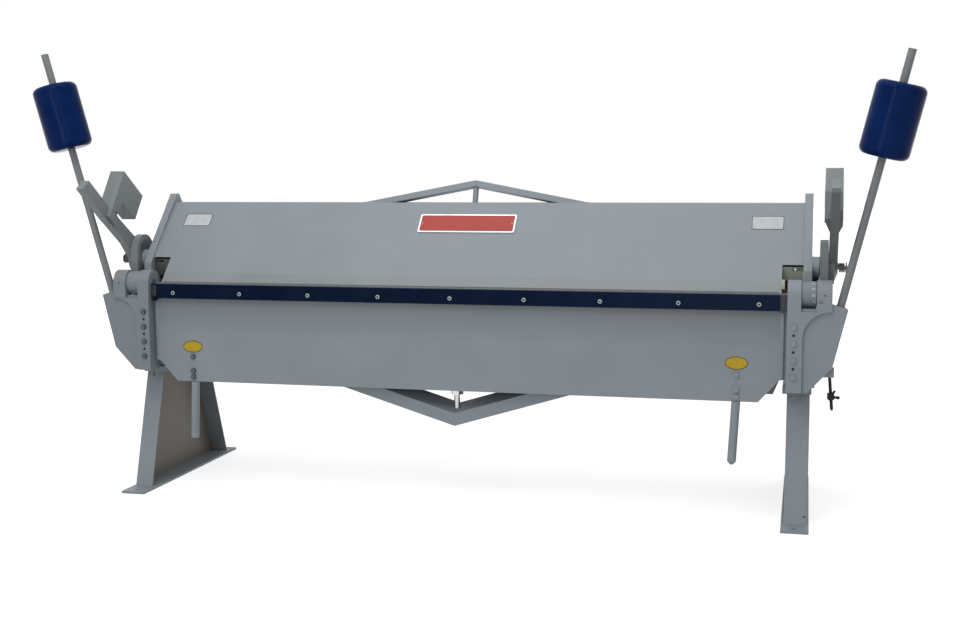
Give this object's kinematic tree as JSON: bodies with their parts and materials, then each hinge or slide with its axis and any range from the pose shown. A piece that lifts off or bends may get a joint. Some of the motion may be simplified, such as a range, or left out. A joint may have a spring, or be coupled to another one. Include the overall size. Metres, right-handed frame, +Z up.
{
  "type": "sheet metal folder",
  "caption": "Hand-operated floor-standing sheet metal folder with a swinging apron, counterweights, a lifting clamping beam and eccentric clamp levers",
  "frame": {"origin": "floor level, middle of the four anchor holes", "axes": "+X along the folding line to the operator's right, +Y away from the operator, +Z up"},
  "size_m": [3.5567, 1.0237, 1.8307],
  "materials": {
    "frame_paint": "semi-gloss grey enamel",
    "bar_paint": "dark blue enamel",
    "weight_paint": "glossy navy enamel",
    "zinc_steel": "bright zinc plate",
    "ground_steel": "ground bare steel",
    "dark_steel": "black oxide",
    "badge_red": "red enamel in a bright frame",
    "label_white": "blank laminated label",
    "oval_yellow": "blank yellow label"
  },
  "bodies": {
    "stand": {"base_plates": "frame_paint", "leg_left": "frame_paint", "leg_right": "frame_paint", "cap_plates": "frame_paint", "frame_bolts": "zinc_steel", "side_frame_left": "frame_paint", "side_frame_right": "frame_paint", "guide_blocks": "ground_steel", "link_pins": "ground_steel", "hinge_pins": "ground_steel", "bed_jaw": "ground_steel", "bed_front_plate": "frame_paint", "bed_top_plate": "frame_paint", "bed_rear_plate": "frame_paint", "bed_bottom_plate": "frame_paint", "bed_truss_bars": "frame_paint", "bed_truss_jack": "zinc_steel"},
    "apron": {"apron_plate": "frame_paint", "folding_bar": "bar_paint", "bar_screws": "zinc_steel", "hinge_casting_left": "frame_paint", "hinge_casting_right": "frame_paint", "apron_screws": "zinc_steel", "casting_dowels": "zinc_steel", "end_blocks": "frame_paint", "set_screws": "dark_steel", "counterweight_rods": "ground_steel", "grab_handles": "frame_paint", "oval_plates": "oval_yellow", "stop_bracket": "dark_steel", "stop_rod": "dark_steel"},
    "weight_left": {"counterweight_left": "weight_paint", "weight_screw_left": "dark_steel"},
    "weight_right": {"counterweight_right": "weight_paint", "weight_screw_right": "dark_steel"},
    "beam": {"beam_front_plate": "frame_paint", "beam_top_plate": "frame_paint", "beam_rear_plate": "frame_paint", "beam_bottom_plate": "frame_paint", "nose_blade": "ground_steel", "nose_holder": "frame_paint", "cheek_left": "frame_paint", "cheek_right": "frame_paint", "shaft_bushes": "frame_paint", "beam_truss_bars": "frame_paint", "beam_truss_post": "frame_paint", "name_plate": "badge_red", "label_plates": "label_white"},
    "lever_left": {"clamp_lever_left": "frame_paint", "eccentric_shaft_left": "ground_steel", "lever_spring_left": "dark_steel", "lever_nut_left": "dark_steel"},
    "lever_right": {"clamp_lever_right": "frame_paint", "eccentric_shaft_right": "ground_steel", "lever_spring_right": "dark_steel", "lever_nut_right": "dark_steel"},
    "strap_left": {"link_left": "frame_paint"},
    "strap_right": {"link_right": "frame_paint"},
    "stop_slider": {"stop_collar": "dark_steel"},
    "stop_clamp": {"stop_lever": "dark_steel"}
  },
  "joints": [
    {"name": "apron_swing", "type": "hinge", "parent": "stand", "child": "apron", "pos_m": [0, -0.2952, 0.8757], "axis": [-1, 0, 0], "range_deg": [0, 135]},
    {"name": "beam_lift", "type": "slide", "parent": "stand", "child": "beam", "axis": [0, 0, 1], "range_m": [0, 0.0315]},
    {"name": "weight_left_slide", "type": "slide", "parent": "apron", "child": "weight_left", "axis": [-0.2304, -0.0662, 0.9708], "range_m": [-0.16, 0.12]},
    {"name": "lever_left_turn", "type": "hinge", "parent": "beam", "child": "lever_left", "pos_m": [-1.467, -0.1462, 0.9653], "axis": [-1, 0, 0], "range_deg": [0, 90]},
    {"name": "link_left_turn", "type": "hinge", "parent": "lever_left", "child": "strap_left", "pos_m": [-1.4335, -0.1462, 0.9983], "axis": [-1, 0, 0], "range_deg": [-85.6, 0]},
    {"name": "weight_right_slide", "type": "slide", "parent": "apron", "child": "weight_right", "axis": [0.2304, -0.0662, 0.9708], "range_m": [-0.1, 0.12]},
    {"name": "lever_right_turn", "type": "hinge", "parent": "beam", "child": "lever_right", "pos_m": [1.467, -0.1462, 0.9653], "axis": [-1, 0, 0], "range_deg": [0, 90]},
    {"name": "link_right_turn", "type": "hinge", "parent": "lever_right", "child": "strap_right", "pos_m": [1.4335, -0.1462, 0.9983], "axis": [-1, 0, 0], "range_deg": [-85.6, 0]},
    {"name": "stop_collar_slide", "type": "slide", "parent": "apron", "child": "stop_slider", "axis": [0.0837, 0, -0.9965], "range_m": [-0.05, 0.03]},
    {"name": "stop_clamp_turn", "type": "hinge", "parent": "stop_slider", "child": "stop_clamp", "pos_m": [1.4679, -0.3247, 0.4959], "axis": [0, 1, 0], "range_deg": [-60, 60]}
  ],
  "couplings": [
    {"joint": "lever_left_turn", "follows": "beam_lift", "rad_per_m": 49.867},
    {"joint": "link_left_turn", "follows": "beam_lift", "rad_per_m": -47.429},
    {"joint": "lever_right_turn", "follows": "beam_lift", "rad_per_m": 49.867},
    {"joint": "link_right_turn", "follows": "beam_lift", "rad_per_m": -47.429}
  ]
}
